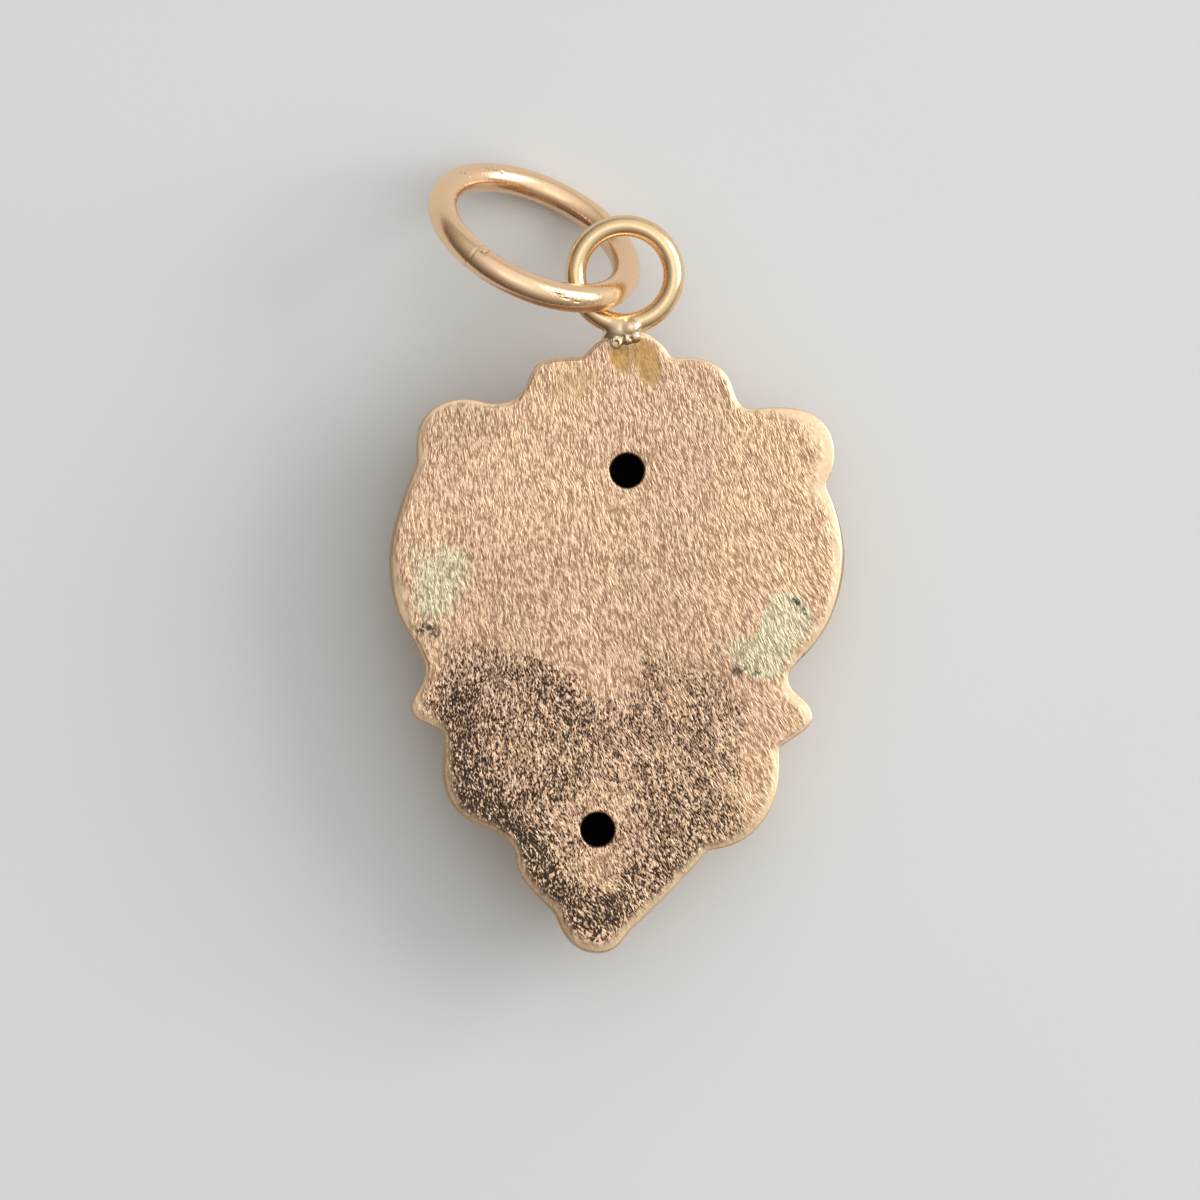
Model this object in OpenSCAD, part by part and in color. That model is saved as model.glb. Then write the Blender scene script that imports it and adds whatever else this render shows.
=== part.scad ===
// Lion head pendant, lying face down with its flat back up.
// +Z points out of the back, +Y runs from the tip of the beard to the rings, z = 0 is what it lies on.
// Sizes are in millimetres and angles in degrees.

/* [Head] */
// Height of the relief, from what it lies on to the back plate
relief_h = 3.95; // [3.6:0.05:4.4]
// Thickness of the flat back plate
plate_t = 0.5; // [0.4:0.05:0.7]
// Least thickness of the front shell
shell_t = 0.4; // [0.35:0.05:0.5]
// Radius of each of the two vent holes in the back plate
vent_r = 0.6; // [0.4:0.05:0.8]

/* [Fixed ring] */
// Radius of the fixed ring to the middle of its wire
fixed_r = 1.72; // [1.66:0.02:1.8]
// Thickness of the fixed ring's wire
fixed_wire = 0.74; // [0.6:0.02:0.8]
// Radius of the solder bead that joins the fixed ring to the plate
bead_r = 0.64; // [0.6:0.01:0.68]

/* [Jump ring] */
// Radius of the jump ring to the middle of its wire
jump_r = 3.48; // [3.44:0.02:3.5]
// Thickness of the jump ring's wire
jump_wire = 1.02; // [0.9:0.02:1.04]
// Lean of the jump ring from lying flat
jump_tilt = 60.8; // [60:0.2:62]
// Turn of the jump ring's low axis from straight across
jump_turn = 23.5; // [22.5:0.5:24]

/* [Smoothness] */
// Longest edge along the outline
edge_step = 0.55; // [0.5:0.05:0.9]
// Number of rings of facets in the relief
relief_rings = 24; // [16:1:24]

/* [Hidden] */
gold = [0.80, 0.64, 0.47];
polished_gold = [0.87, 0.70, 0.47];

// The outline, anticlockwise from the solder bead as seen from the back.
// Each row is a corner and how far the edge that arrives there bows outwards.
//  x      y      bow
CORNERS = [
  [ 0.80, 10.80,  0.12],
  [-0.75, 10.50,  0.10],
  [-1.35,  9.85,  0.03],
  [-2.85,  9.65,  0.06],
  [-3.25,  8.90,  0.06],
  [-4.05,  8.15, -0.16],
  [-4.95,  8.20, -0.06],
  [-6.40,  7.95,  0.14],
  [-7.05,  6.70,  0.19],
  [-7.00,  5.90,  0.03],
  [-7.55,  4.40,  0.02],
  [-7.85,  2.50,  0.07],
  [-7.40,  0.50,  0.10],
  [-6.60, -0.80,  0.00],
  [-6.70, -2.10, -0.21],
  [-6.90, -2.55,  0.01],
  [-6.55, -3.10,  0.12],
  [-5.70, -3.45,  0.00],
  [-5.70, -4.70, -0.03],
  [-5.35, -5.95,  0.09],
  [-4.35, -6.65,  0.10],
  [-3.60, -6.95,  0.00],
  [-3.00, -7.60, -0.07],
  [-2.80, -8.40,  0.05],
  [-1.60, -9.60,  0.05],
  [-1.25, -10.3,  0.00],
  [ 0.00, -11.0,  0.20],
  [ 0.80, -10.6,  0.10],
  [ 1.20, -10.05, -0.02],
  [ 3.75, -7.20,  0.05],
  [ 5.10, -6.70,  0.10],
  [ 5.95, -5.45,  0.10],
  [ 6.05, -3.55,  0.10],
  [ 7.00, -2.85,  0.00],
  [ 7.00, -1.95,  0.20],
  [ 6.40, -1.45,  0.00],
  [ 6.35, -0.80, -0.10],
  [ 6.80, -0.30,  0.00],
  [ 7.55,  0.75,  0.04],
  [ 8.10,  3.15,  0.13],
  [ 7.30,  5.70,  0.17],
  [ 7.60,  6.80,  0.09],
  [ 6.55,  8.30,  0.29],
  [ 4.80,  8.30,  0.08],
  [ 4.25,  8.40, -0.06],
  [ 3.95,  8.95, -0.04],
  [ 3.30,  9.80,  0.11],
  [ 2.40, 10.00,  0.05],
  [ 1.75,  9.95,  0.00]
];
centre = [0.1, 0];

// The face and the fullest locks, as soft mounds and hollows on the domed shell.
// A mirrored row is made on both sides.
//  x      y      half_w half_h turn  rise  mirrored
FEATURES = [
  [ 0.00,  1.00,  4.00,  5.20,   0,  0.60, 0], // face
  [ 1.00,  4.90,  1.20,  1.80, -14,  0.40, 1], // forehead
  [ 2.05,  3.25,  1.80,  0.85,  24,  0.80, 1], // brow
  [ 1.80,  2.00,  1.40,  0.85,  24, -0.95, 1], // eye socket
  [ 1.85,  1.98,  0.75,  0.46,  20,  0.75, 1], // eyeball
  [ 2.00,  2.48,  1.10,  0.28,  22,  0.30, 1], // upper lid
  [ 0.00,  2.30,  1.15,  2.60,   0,  0.60, 0], // bridge of the nose, upper part
  [ 0.00,  0.60,  1.45,  2.10,   0,  0.75, 0], // bridge of the nose, lower part
  [ 3.10,  0.60,  1.10,  1.60, -30,  0.35, 1], // cheekbone
  [ 1.30, -1.75,  2.05,  1.65,  12,  1.20, 1], // muzzle
  [ 0.62, -0.42,  1.00,  0.62,  18,  0.50, 1], // wing of the nose
  [ 0.00, -0.75,  0.85,  0.85,   0,  0.40, 0], // tip of the nose
  [ 0.80, -0.82,  0.46,  0.28,  34, -0.70, 1], // nostril
  [ 0.00, -1.95,  0.24,  1.00,   0, -0.60, 0], // cleft of the lip
  [ 1.35, -2.95,  1.75,  0.42,  24, -1.00, 1], // mouth
  [ 0.00, -3.55,  1.25,  0.95,   0,  1.15, 0], // chin
  [ 2.30,  6.60,  2.10,  1.90,   0,  0.95, 1], // crown of the mane
  [ 4.30, -3.60,  2.00,  2.10,   0,  0.95, 1]  // lower mane
];

// Right ear: centre, half width, half height and turn, with the cup inside it
ear = [5.35, 7.05, 1.95, 1.60, -40];
ear_cup = [5.35, 7.05, 1.21, 0.99, -40];
ear_rise = 0.95;
ear_cup_depth = 1.05;

// Directions, seen from the middle, in which a groove between two long locks meets the outline
GROOVES = [7, 22, 38, 63, 81, 98, 117, 140, 157, 174, 192, 211, 230, 248, 262, 276, 297, 313, 330, 351];
// How many degrees the locks sweep down between the middle and the outline
lock_sweep = 45;

// Heights over the dome in each tier of locks: in its grooves, and how much more on its crests
long_locks = [-0.15, 0.85];
middle_locks = [0.55, 0.75];
short_locks = [0.55, 0.45];
// How far out the middle tier ends, as a share of the way to the outline: in its grooves, and how much more
middle_end = [0.66, 0.16];
// The oval of the face, and where the short tier ends and begins, as shares of that oval
face = [0, 0.85, 4.0, 5.1, 0];
short_end = [1.22, 0.10];
short_start = [0.90, 0.10];
// Widths of the steps at the ends of the tiers, at the face and at the rim
tip_step = 0.10;
face_step = 0.22;
rim_step = 0.05;

// Height of the domed shell at the rim, and how much higher it is in the middle
rim_h = 0.50;
dome_h = 1.75;
// The shell's top edge stands just inside the plate's edge, and just inside the plate
rim_inset = 0.994;
seam_depth = 0.05;
// How softly the highest places are levelled off
softness = 0.10;

// Hollow inside the shell: it follows the broad forms only, and stays clear of the grooves
hollow_rings = 9;
hollow_reach = 0.9;
groove_depth = 0.15;
HOLLOW_FEATURES = [
  [ 0.00,  1.00,  4.00,  5.20,   0,  0.35, 0], // face
  [ 1.90,  2.00,  1.80,  1.20,  24, -0.60, 1], // eye socket
  [ 0.00,  0.60,  1.30,  3.60,   0,  0.60, 0], // bridge of the nose
  [ 1.30, -3.00,  2.00,  0.80,  24, -0.60, 1], // mouth
  [ 2.30,  6.60,  2.10,  1.90,   0,  0.80, 1], // crown of the mane
  [ 4.30, -3.60,  2.00,  2.10,   0,  0.80, 1]  // lower mane
];

// Middle of each vent hole
VENTS = [[0.36, 5.95], [-0.17, -6.65]];

// The fixed ring stands in the middle of the plate's thickness
fixed_y = 12.80;
fixed_z = relief_h + plate_t / 2;
bead_y = 10.87;
bead_lift = 0.08;

// The jump ring's lowest side rests beside the head on what the pendant lies on
jump_x = -3.22;
jump_y = 13.98;
jump_z = jump_r * sin(jump_tilt) + jump_wire / 2;

function smooth(low, high, x) =
  let (q = min(1, max(0, (x - low) / (high - low))))
  q * q * (3 - 2 * q);

// Points of one edge of the outline, as a shallow bow from corner a to corner b
function edge_points(a, b, bow) =
  let (
    step = [b[0] - a[0], b[1] - a[1]],
    side = [step[1], -step[0]] / norm(step),
    count = ceil(norm(step) / edge_step)
  )
  [for (k = [0:count - 1]) let (f = k / count) [a[0], a[1]] + step * f + side * bow * 4 * f * (1 - f)];

corner_count = len(CORNERS);
outline = [
  for (i = [0:corner_count - 1])
    each edge_points(CORNERS[(i + corner_count - 1) % corner_count], CORNERS[i], CORNERS[i][2])
];

// 1 on the crest of a lock and 0 in the groove at each whole number
function ridge(u) = let (f = u - floor(u)) sqrt(max(0, 1 - pow(2 * f - 1, 2)));

groove_count = len(GROOVES);
groove_table = [
  for (lap = [-1:1])
    for (i = [0:groove_count - 1]) [GROOVES[i] + 360 * lap, i + groove_count * lap]
];

// How far round the mane a place is, counted in locks that sweep down on both sides
function lock_count(direction, t) = lookup(direction + lock_sweep * cos(direction) * (1 - t), groove_table);

// Squared distance from the middle of an oval [x, y, half_w, half_h, turn], 1 on its edge
function oval(x, y, o) =
  let (dx = x - o[0], dy = y - o[1], c = cos(o[4]), s = sin(o[4]))
  pow((dx * c + dy * s) / o[2], 2) + pow((dy * c - dx * s) / o[3], 2);

function mound(x, y, f) = let (q = max(0, 1 - oval(x, y, f))) f[5] * q * q * (3 - 2 * q);

function features_at(x, y, list) = [
  for (f = list) mound(x, y, f) + (f[6] == 1 ? mound(-x, y, f) : 0)
];

function total(v, i = 0) = i < len(v) ? v[i] + total(v, i + 1) : 0;

function mix(a, b, share) = a * (1 - share) + b * share;

function at_rim(t) = min(1, (1 - t) / rim_step);

// Height of the three tiers of locks over the dome
function mane(x, y, t, direction) =
  let (
    u = lock_count(direction, t),
    middle_crest = ridge(u + 0.5),
    short_crest = ridge(2 * u),
    outer = (long_locks[0] + long_locks[1] * ridge(u)) * at_rim(t),
    middle = middle_locks[0] + middle_locks[1] * middle_crest,
    inner = short_locks[0] + short_locks[1] * short_crest,
    q = sqrt(oval(x, y, face)),
    over_outer = smooth(0, tip_step, middle_end[0] + middle_end[1] * middle_crest - t),
    over_middle = smooth(0, tip_step, short_end[0] + short_end[1] * short_crest - q),
    off_face = smooth(0, face_step, q - short_start[0] - short_start[1] * short_crest)
  )
  off_face * mix(mix(outer, middle, over_outer), inner, over_middle);

function dome(t) = rim_h + dome_h * sqrt(max(0, 1 - pow(t, 5)));

// Height of the relief over the plate, levelled off softly where it would rise past relief_h
function relief(x, y, t, direction) =
  let (
    q = oval(abs(x), y, ear),
    q_cup = oval(abs(x), y, ear_cup),
    h = dome(t) + mane(x, y, t, direction) * (1 - smooth(1.15, 0.85, q))
      + total(features_at(x, y, FEATURES))
      + ear_rise * smooth(1.10, 0.60, q) * at_rim(t)
      - ear_cup_depth * smooth(1.10, 0.10, q_cup)
  )
  relief_h - softness * ln(1 + exp((relief_h - h) / softness));

function spoke(i, t) = centre + (outline[i] - centre) * t;

function direction_of(i) = atan2(outline[i][1] - centre[1], outline[i][0] - centre[0]);

spokes = len(outline);

// Point of the relief on spoke i, the share t of the way from the middle to the outline
function relief_point(i, t) =
  let (p = spoke(i, t), a = (direction_of(i) + 360) % 360)
  [p[0], p[1], relief_h - relief(p[0], p[1], t, a)];

// Faces that join rows of n points, closed by the point after the last row and the one after that
function stack_faces(n, rows) = [
  for (r = [0:rows - 2])
    for (i = [0:n - 1])
      let (j = (i + 1) % n, a = r * n, b = a + n)
      each [[a + i, a + j, b + i], [a + j, b + j, b + i]],
  for (i = [0:n - 1]) [rows * n, (i + 1) % n, i],
  for (i = [0:n - 1]) [rows * n + 1, (rows - 1) * n + i, (rows - 1) * n + (i + 1) % n]
];

// Domed front of the pendant with the lion's face and mane raised on it
module front_shell() {
  seam_z = relief_h + seam_depth;
  points = [
    for (i = [0:spokes - 1]) let (p = spoke(i, rim_inset)) [p[0], p[1], seam_z],
    for (j = [0:relief_rings - 1])
      for (i = [0:spokes - 1]) relief_point(i, 1 - j / relief_rings),
    [centre[0], centre[1], seam_z],
    [centre[0], centre[1], relief_h - relief(centre[0], centre[1], 0, 0)]
  ];
  polyhedron(points, stack_faces(spokes, relief_rings + 1));
}

// Height of the space inside
function hollow_h(x, y, t) = max(0, dome(t) - groove_depth - shell_t + total(features_at(x, y, HOLLOW_FEATURES)));

module hollow() {
  n = corner_count;
  rows = [for (j = [0:hollow_rings - 1]) hollow_reach * (1 - j / hollow_rings)];
  points = [
    for (j = [-1:hollow_rings - 1])
      for (i = [0:n - 1])
        let (
          t = rows[max(0, j)],
          p = centre + ([CORNERS[i][0], CORNERS[i][1]] - centre) * t
        )
        [p[0], p[1], relief_h - (j < 0 ? 0 : hollow_h(p[0], p[1], t))],
    [centre[0], centre[1], relief_h],
    [centre[0], centre[1], relief_h - hollow_h(centre[0], centre[1], 0)]
  ];
  polyhedron(points, stack_faces(n, hollow_rings + 1));
}

module back_plate() {
  translate([0, 0, relief_h]) linear_extrude(plate_t) polygon(outline);
}

module vents() {
  for (p = VENTS) translate([p[0], p[1], relief_h - plate_t]) cylinder(h = 3 * plate_t, r = vent_r, $fn = 48);
}

module wire_ring(r, wire) {
  rotate_extrude($fn = 96) translate([r, 0]) circle(d = wire, $fn = 32);
}

module lion_head() {
  color(gold) laid() {
    difference() {
      union() {
        back_plate();
        front_shell();
      }
      hollow();
      vents();
    }
    translate([0, fixed_y, fixed_z]) rotate([0, 0, 90]) wire_ring(fixed_r, fixed_wire);
    translate([0, bead_y, fixed_z + bead_lift]) rotate([90, 0, 0]) sphere(r = bead_r, $fn = 32);
  }
}

module jump_ring() {
  color(polished_gold) laid()
    translate([jump_x, jump_y, jump_z]) rotate([180 - jump_tilt, 0, -jump_turn]) wire_ring(jump_r, jump_wire);
}

// The origin is below the middle of all that lies there
jump_reach = jump_r * norm([sin(jump_turn), cos(jump_turn) * cos(jump_tilt)]) + jump_wire / 2;
xs = [for (p = outline) p[0]];
ys = [for (p = outline) p[1]];
middle = [(min(xs) + max(xs)) / 2, (min(ys) + jump_y + jump_reach) / 2, 0];

module laid() {
  translate(-middle) children();
}

lion_head();
jump_ring();
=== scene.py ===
"""Lion head pendant lying face down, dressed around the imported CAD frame.

Lengths are in millimetres in the pendant's own frame, as in the part's source, until a mesh is made.
"""
import math

import bmesh
import bpy
import numpy as np
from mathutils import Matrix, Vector
from mathutils.geometry import delaunay_2d_cdt


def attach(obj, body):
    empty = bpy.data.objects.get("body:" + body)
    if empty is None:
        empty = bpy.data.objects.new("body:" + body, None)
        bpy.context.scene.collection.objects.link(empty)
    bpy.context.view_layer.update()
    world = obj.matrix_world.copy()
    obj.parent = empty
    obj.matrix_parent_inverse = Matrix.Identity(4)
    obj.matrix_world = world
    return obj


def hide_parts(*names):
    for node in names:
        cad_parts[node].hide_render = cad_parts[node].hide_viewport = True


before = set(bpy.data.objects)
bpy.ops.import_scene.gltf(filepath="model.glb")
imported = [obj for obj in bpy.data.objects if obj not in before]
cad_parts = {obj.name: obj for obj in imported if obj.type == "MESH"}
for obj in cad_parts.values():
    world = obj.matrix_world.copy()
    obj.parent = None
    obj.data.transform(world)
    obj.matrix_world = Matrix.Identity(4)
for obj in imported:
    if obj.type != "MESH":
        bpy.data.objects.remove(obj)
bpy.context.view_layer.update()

RNG = np.random.default_rng(11)

# Depth of the domed shell under the plate, and the plate's and the shell's thickness
RELIEF_H = 3.95
PLATE_T = 0.5
SHELL_T = 0.4
# The plate's mean surface, just under the solid's, so that its strokes stay within the solid
PLATE_TOP = RELIEF_H + PLATE_T - 0.01
# How far the shell's lip stands in the plate, as solder joins them
SOLDERED = 0.02
# Middles of the two vent holes
VENTS = ((0.36, 5.95), (-0.17, -6.65))
# The rings: radius to the middle of the wire, thickness of the wire, place and lean
FIXED_R = 1.72
FIXED_WIRE = 0.74
FIXED_CENTRE = np.array([0.0, 12.80, RELIEF_H + PLATE_T / 2])
JUMP_R = 3.48
JUMP_WIRE = 1.02
JUMP_TILT = math.radians(60.8)
JUMP_TURN = math.radians(23.5)
JUMP_CENTRE = np.array([-3.22, 13.98, JUMP_R * math.sin(JUMP_TILT) + JUMP_WIRE / 2])
# The point that the outline's spokes start from
CENTRE = np.array([0.1, 0.0])

# The outline, anticlockwise from the solder neck: x, y, bow of the edge that arrives
CORNERS = (
    (0.80, 10.80, 0.12), (-0.75, 10.50, 0.10), (-1.35, 9.85, 0.03), (-2.85, 9.65, 0.06),
    (-3.25, 8.90, 0.06), (-4.05, 8.15, -0.16), (-4.95, 8.20, -0.06), (-6.40, 7.95, 0.14),
    (-7.05, 6.70, 0.19), (-7.00, 5.90, 0.03), (-7.55, 4.40, 0.02), (-7.85, 2.50, 0.07),
    (-7.40, 0.50, 0.10), (-6.60, -0.80, 0.00), (-6.70, -2.10, -0.21), (-6.90, -2.55, 0.01),
    (-6.55, -3.10, 0.12), (-5.70, -3.45, 0.00), (-5.70, -4.70, -0.03), (-5.35, -5.95, 0.09),
    (-4.35, -6.65, 0.10), (-3.60, -6.95, 0.00), (-3.00, -7.60, -0.07), (-2.80, -8.40, 0.05),
    (-1.60, -9.60, 0.05), (-1.25, -10.3, 0.00), (0.00, -11.0, 0.20), (0.80, -10.6, 0.10),
    (1.20, -10.05, -0.02), (3.75, -7.20, 0.05), (5.10, -6.70, 0.10), (5.95, -5.45, 0.10),
    (6.05, -3.55, 0.10), (7.00, -2.85, 0.00), (7.00, -1.95, 0.20), (6.40, -1.45, 0.00),
    (6.35, -0.80, -0.10), (6.80, -0.30, 0.00), (7.55, 0.75, 0.04), (8.10, 3.15, 0.13),
    (7.30, 5.70, 0.17), (7.60, 6.80, 0.09), (6.55, 8.30, 0.29), (4.80, 8.30, 0.08),
    (4.25, 8.40, -0.06), (3.95, 8.95, -0.04), (3.30, 9.80, 0.11), (2.40, 10.00, 0.05),
    (1.75, 9.95, 0.00),
)

# From the pendant's own frame to the row's, whose origin is below the middle of the part's box
corner_x, corner_y = [c[0] for c in CORNERS], [c[1] for c in CORNERS]
jump_lean = math.hypot(math.sin(JUMP_TURN), math.cos(JUMP_TURN) * math.cos(JUMP_TILT))
jump_top = JUMP_CENTRE[1] + JUMP_R * jump_lean + JUMP_WIRE / 2
MIDDLE = np.array([(min(corner_x) + max(corner_x)) / 2, (min(corner_y) + jump_top) / 2, 0.0])

# Mounds and hollows of the relief: x, y, half width, half height, turn in degrees, rise, mirrored
FEATURES = (
    (0.00, 1.00, 4.00, 5.20, 0, 0.60, 0), (1.00, 4.90, 1.20, 1.80, -14, 0.40, 1),
    (2.05, 3.25, 1.80, 0.85, 24, 0.80, 1), (1.80, 2.00, 1.40, 0.85, 24, -0.95, 1),
    (1.85, 1.98, 0.75, 0.46, 20, 0.75, 1), (2.00, 2.48, 1.10, 0.28, 22, 0.30, 1),
    (0.00, 2.30, 1.15, 2.60, 0, 0.60, 0), (0.00, 0.60, 1.45, 2.10, 0, 0.75, 0),
    (3.10, 0.60, 1.10, 1.60, -30, 0.35, 1), (1.30, -1.75, 2.05, 1.65, 12, 1.20, 1),
    (0.62, -0.42, 1.00, 0.62, 18, 0.50, 1), (0.00, -0.75, 0.85, 0.85, 0, 0.40, 0),
    (0.80, -0.82, 0.46, 0.28, 34, -0.70, 1), (0.00, -1.95, 0.24, 1.00, 0, -0.60, 0),
    (1.35, -2.95, 1.75, 0.42, 24, -1.00, 1), (0.00, -3.55, 1.25, 0.95, 0, 1.15, 0),
    (2.30, 6.60, 2.10, 1.90, 0, 0.95, 1), (4.30, -3.60, 2.00, 2.10, 0, 0.95, 1),
)
# The shell's inner side follows them roughly
HOLLOW_FEATURES = (
    (0.00, 1.00, 4.00, 5.20, 0, 0.35, 0), (1.90, 2.00, 1.80, 1.20, 24, -0.60, 1),
    (0.00, 0.60, 1.30, 3.60, 0, 0.60, 0), (1.30, -3.00, 2.00, 0.80, 24, -0.60, 1),
    (2.30, 6.60, 2.10, 1.90, 0, 0.80, 1), (4.30, -3.60, 2.00, 2.10, 0, 0.80, 1),
)
# Ovals of the face, of an ear and of its cup: x, y, half width, half height, turn in degrees
FACE = (0, 0.85, 4.0, 5.1, 0)
EAR = (5.35, 7.05, 1.95, 1.60, -40)
EAR_CUP = (5.35, 7.05, 1.21, 0.99, -40)
# Directions of the grooves between the outer locks of the mane, in degrees
GROOVES = (7, 22, 38, 63, 81, 98, 117, 140, 157, 174, 192, 211, 230, 248, 262, 276, 297, 313, 330, 351)

# How far the plate's edge stands inside the shell's side: direction from the middle in degrees, inset
PLATE_INSET = (
    (0, 0.01), (9, 0.04), (20, 0.11), (29, 0.05), (36, 0.01), (60, 0.005), (125, 0.01), (140, 0.04),
    (152, 0.10), (165, 0.08), (176, 0.03), (205, 0.02), (222, 0.09), (235, 0.04), (250, 0.03),
    (262, 0.07), (272, 0.03), (285, 0.005), (350, 0.005), (360, 0.01),
)
# How wide the plate's burnished rim is: direction, width
RIM_WIDTH = (
    (0, 0.30), (20, 0.30), (34, 0.34), (40, 0.62), (47, 0.66), (53, 0.40), (60, 0.16), (90, 0.12),
    (116, 0.14), (125, 0.22), (136, 0.30), (146, 0.16), (160, 0.18), (167, 0.50), (173, 0.48),
    (180, 0.20), (196, 0.16), (203, 0.42), (210, 0.16), (225, 0.24), (240, 0.18), (258, 0.28),
    (272, 0.32), (285, 0.28), (318, 0.28), (336, 0.20), (344, 0.42), (351, 0.20), (360, 0.30),
)


def smooth(low, high, x):
    """From 0 at low to 1 at high, with soft ends; low may be the greater one."""
    q = np.clip((x - low) / (high - low), 0, 1)
    return q * q * (3 - 2 * q)


def mix(a, b, share):
    return a * (1 - share) + b * share


def by_direction(table, degrees):
    """What a table of directions and values gives for some directions."""
    return np.interp(degrees % 360, [r[0] for r in table], [r[1] for r in table])


def bowed_outline(step):
    """Points along the corners' bowed edges, about a step apart."""
    points = []
    for i, (bx, by, bow) in enumerate(CORNERS):
        ax, ay, _ = CORNERS[i - 1]
        a = np.array([ax, ay])
        along = np.array([bx, by]) - a
        length = np.hypot(*along)
        side = np.array([along[1], -along[0]]) / length
        for k in range(math.ceil(length / step)):
            f = k / math.ceil(length / step)
            points.append(a + along * f + side * bow * 4 * f * (1 - f))
    return np.array(points)


def softened(points, times):
    """A closed loop with its corners rounded off."""
    for _ in range(times):
        points = (np.roll(points, 1, 0) + 2 * points + np.roll(points, -1, 0)) / 4
    return points


def direction_of(points):
    """Direction of each point from the middle, in degrees."""
    p = points - CENTRE
    return np.degrees(np.arctan2(p[..., 1], p[..., 0])) % 360


def reach_at(directions, loop):
    """How far a loop round the middle is from it in some directions."""
    d = direction_of(loop)
    order = np.argsort(d)
    d, r = d[order], np.hypot(*(loop - CENTRE).T)[order]
    return np.interp(directions, np.r_[d[-1] - 360, d, d[0] + 360], np.r_[r[-1], r, r[0]])


def edge_distance(points, loop):
    """Distance of each point to a closed loop of short segments."""
    a = loop
    along = np.roll(loop, -1, 0) - a
    length2 = (along**2).sum(1)
    found = []
    points_at_once = 3000
    for part in np.array_split(points, max(1, len(points) // points_at_once)):
        d = part[:, None, :] - a
        f = np.clip((d * along).sum(2) / length2, 0, 1)
        found.append(np.hypot(*(d - f[..., None] * along).transpose(2, 0, 1)).min(1))
    return np.concatenate(found)


silhouette = softened(bowed_outline(step=0.11), times=3)
SPOKES = len(silhouette)
reach = np.hypot(*(silhouette - CENTRE).T)
spoke_direction = direction_of(silhouette)

# Distance to the outline along each spoke, so that loops can be set in by an even width. A tiny slope
# keeps the distances rising where the outline's notches would hold them level.
DEEPEST_INSET = 2.4
STEPS = np.arange(0, DEEPEST_INSET, 0.02)
spoke_shares = 1 - STEPS[None, :] / reach[:, None]
probe = CENTRE + (silhouette - CENTRE)[:, None, :] * spoke_shares[..., None]
probe_depth = edge_distance(probe.reshape(-1, 2), silhouette).reshape(SPOKES, -1)
probe_depth = np.maximum.accumulate(probe_depth, axis=1) + STEPS * 1e-6


def inset_loop(depths):
    """The outline set in by a depth for each spoke."""
    depths = np.broadcast_to(depths, (SPOKES,))
    s = np.array([np.interp(d, probe_depth[i], STEPS) for i, d in enumerate(depths)])
    return CENTRE + (silhouette - CENTRE) * (1 - s / reach)[:, None]


def rows_to_faces(rows, n, start=0):
    """Four-sided faces between closed rows of n points each."""
    faces = []
    for r in range(rows - 1):
        a = start + r * n
        for i in range(n):
            j = (i + 1) % n
            faces.append((a + i, a + j, a + n + j, a + n + i))
    return faces


def new_mesh(name, points, faces, attributes):
    """A mesh object in metres in the row's frame from millimetres in the pendant's frame."""
    mesh = bpy.data.meshes.new(name)
    mesh.from_pydata(((points - MIDDLE) * 0.001).tolist(), [], faces)
    bm = bmesh.new()
    bm.from_mesh(mesh)
    bmesh.ops.recalc_face_normals(bm, faces=bm.faces)
    bm.to_mesh(mesh)
    bm.free()
    mesh.shade_smooth()
    for key, values in attributes.items():
        mesh.attributes.new(key, "FLOAT", "POINT").data.foreach_set("value", values.astype(np.float32))
    obj = bpy.data.objects.new(name, mesh)
    bpy.context.scene.collection.objects.link(obj)
    return obj


# Front shell with the relief of the lion's head


def oval(x, y, row):
    """0 at the middle of a turned oval and 1 on its edge, for a row that starts x, y, half sizes, turn."""
    middle_x, middle_y, half_width, half_height, turn = row[:5]
    c, s = math.cos(math.radians(turn)), math.sin(math.radians(turn))
    dx, dy = x - middle_x, y - middle_y
    return ((dx * c + dy * s) / half_width) ** 2 + ((dy * c - dx * s) / half_height) ** 2


def mounds(x, y, table):
    """Height that a table's mounds and hollows add."""
    h = np.zeros_like(x)
    for row in table:
        rise, mirrored = row[5:]
        for sign in (1, -1) if mirrored else (1,):
            q = np.maximum(0, 1 - oval(sign * x, y, row))
            h += rise * q * q * (3 - 2 * q)
    return h


def ridge(u):
    """A round crest over each whole step of u, with a groove at each whole number."""
    return np.sqrt(np.maximum(0, 1 - (2 * (u - np.floor(u)) - 1) ** 2))


def lock_count(direction, t):
    """Number of the lock at a direction. Locks sweep down towards the middle, where t is 0."""
    sweep = 45
    xs = [g + 360 * lap for lap in (-1, 0, 1) for g in GROOVES]
    us = [i + len(GROOVES) * lap for lap in (-1, 0, 1) for i in range(len(GROOVES))]
    return np.interp(direction + sweep * np.cos(np.radians(direction)) * (1 - t), xs, us)


def mane(x, y, t, direction):
    """Three tiers of locks, with fine strands of hair along them; t is 1 on the outline."""
    u = lock_count(direction, t)
    middle_crest, short_crest = ridge(u + 0.5), ridge(2 * u)
    outer = (-0.15 + 0.85 * ridge(u)) * np.minimum(1, (1 - t) / 0.05)
    middle = 0.55 + 0.75 * middle_crest
    inner = 0.55 + 0.45 * short_crest
    q = np.sqrt(oval(x, y, FACE))
    over_outer = smooth(0, 0.10, 0.66 + 0.16 * middle_crest - t)
    over_middle = smooth(0, 0.10, 1.22 + 0.10 * short_crest - q)
    off_face = smooth(0, 0.22, q - 0.90 - 0.10 * short_crest)
    strands_a_lock, strand_h = 5, 0.035
    strands = np.cos(2 * np.pi * strands_a_lock * (u + 0.15 * np.sin(9 * t)))
    strands = strand_h * strands * np.minimum(1, (1 - t) / 0.08)
    return off_face * (mix(mix(outer, middle, over_outer), inner, over_middle) + strands)


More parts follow.
